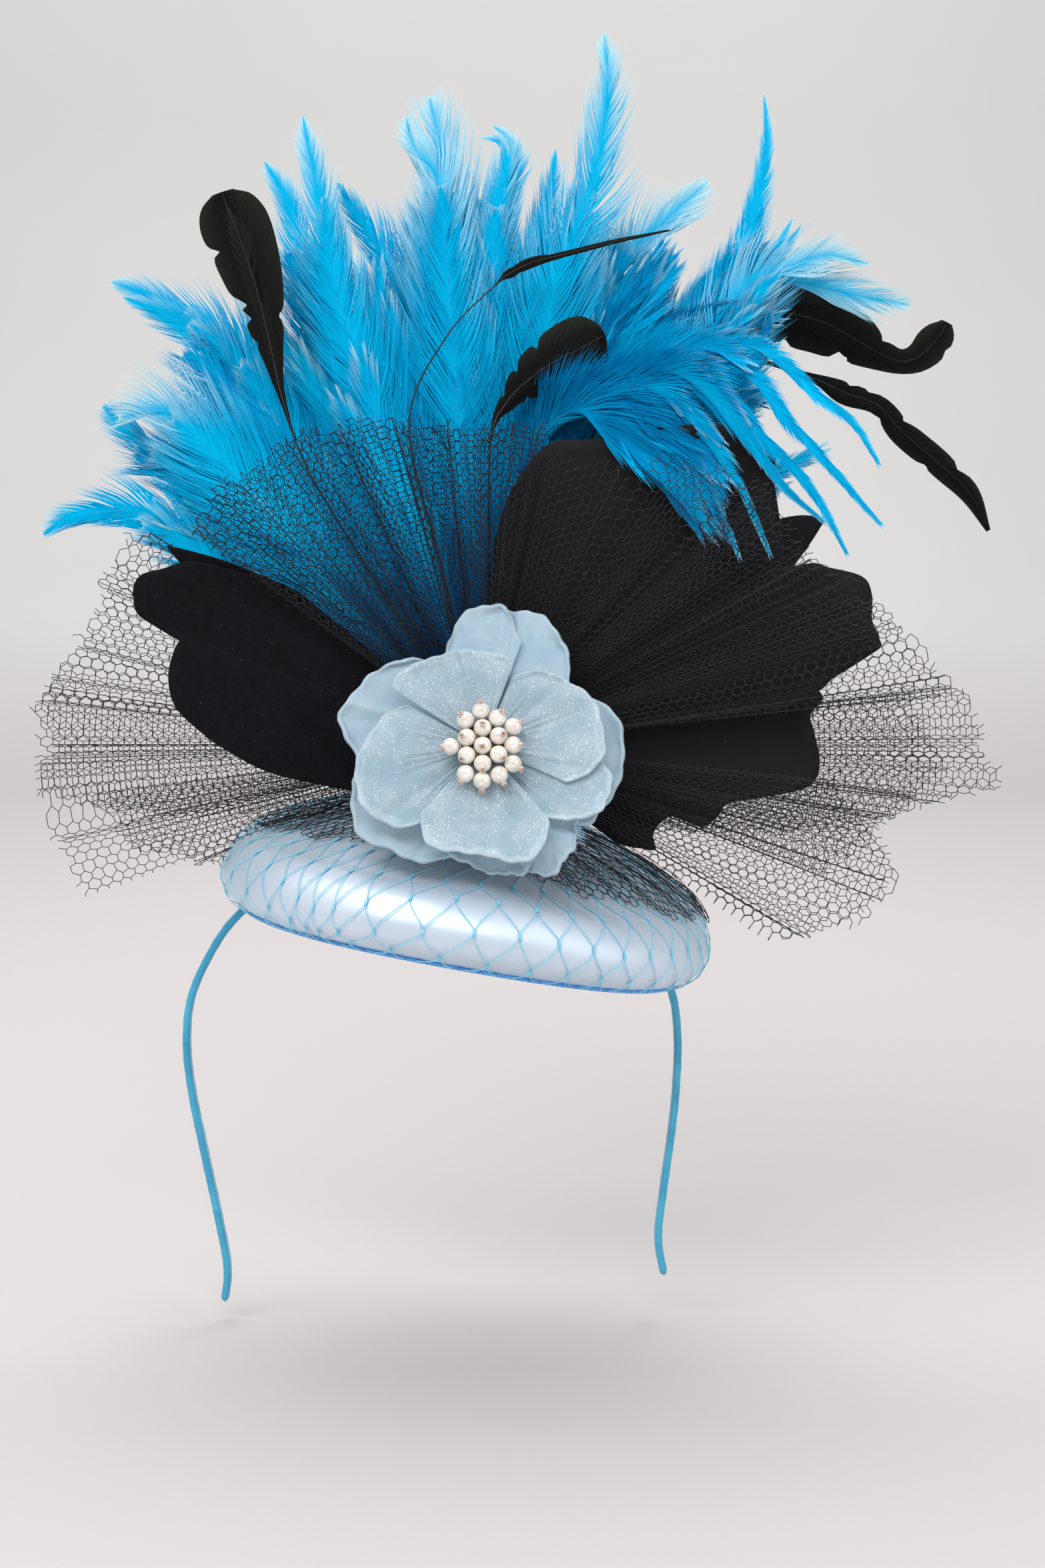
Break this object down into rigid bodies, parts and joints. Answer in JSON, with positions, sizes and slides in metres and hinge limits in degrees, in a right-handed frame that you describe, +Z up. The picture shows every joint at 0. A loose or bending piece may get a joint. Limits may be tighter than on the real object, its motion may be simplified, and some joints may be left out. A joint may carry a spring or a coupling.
{
  "type": "fascinator",
  "caption": "Fascinator on a wrapped headband: domed satin base under net, pleated net fans, dark petals, blue and black feathers, and a fabric flower with a pearl centre.",
  "frame": {"origin": "top of the wearer's head, at the underside of the headband's crown", "axes": "+Z up, +X to the right as seen from the front, -Y towards the front"},
  "size_m": [0.319, 0.1436, 0.4206],
  "materials": {
    "satin": "satin",
    "binding": "satin",
    "band_satin": "satin",
    "black_felt": "matt felt",
    "black_cloth": "matt cloth",
    "black_net": "net",
    "hackle": "feather",
    "coque": "feather, slight gloss",
    "flower_silk": "soft sheen",
    "flower_organza": "glitter organza",
    "gilt": "gilt",
    "pearl": "pearl"
  },
  "bodies": {
    "root": {"base_binding": "binding", "base_shell": "satin", "coque_curled": "coque", "coque_left": "coque", "coque_low": "coque", "coque_middle": "coque", "coque_thin": "coque", "flower_backing": "flower_silk", "hackle_plume": "hackle", "headband": "band_satin", "inner_petal_1": "flower_organza", "inner_petal_2": "flower_organza", "inner_petal_3": "flower_organza", "inner_petal_4": "flower_organza", "inner_petal_5": "flower_organza", "leaf_black_left": "black_felt", "leaf_black_low": "black_cloth", "leaf_black_right": "black_cloth", "outer_petal_1": "flower_silk", "outer_petal_2": "flower_silk", "outer_petal_3": "flower_silk", "outer_petal_4": "flower_silk", "outer_petal_5": "flower_silk", "outer_petal_6": "flower_silk", "outer_petal_7": "flower_silk", "pearl_01": "pearl", "pearl_02": "pearl", "pearl_03": "pearl", "pearl_04": "pearl", "pearl_05": "pearl", "pearl_06": "pearl", "pearl_07": "pearl", "pearl_08": "pearl", "pearl_09": "pearl", "pearl_10": "pearl", "pearl_11": "pearl", "pearl_12": "pearl", "pearl_13": "pearl", "pearl_14": "pearl", "pearl_15": "pearl", "pearl_16": "pearl", "pearl_17": "pearl", "pearl_plate": "gilt", "petal_black_left": "black_felt", "petal_black_right": "black_cloth", "petal_black_right_low": "black_cloth", "petal_black_top": "black_cloth", "trim_stem": "black_felt", "tulle_left": "black_net", "tulle_left_low": "black_net", "tulle_right": "black_net", "tulle_right_back": "black_net", "tulle_right_low": "black_net", "tulle_right_wide": "black_net", "tulle_top_left": "black_net"}
  },
  "joints": []
}
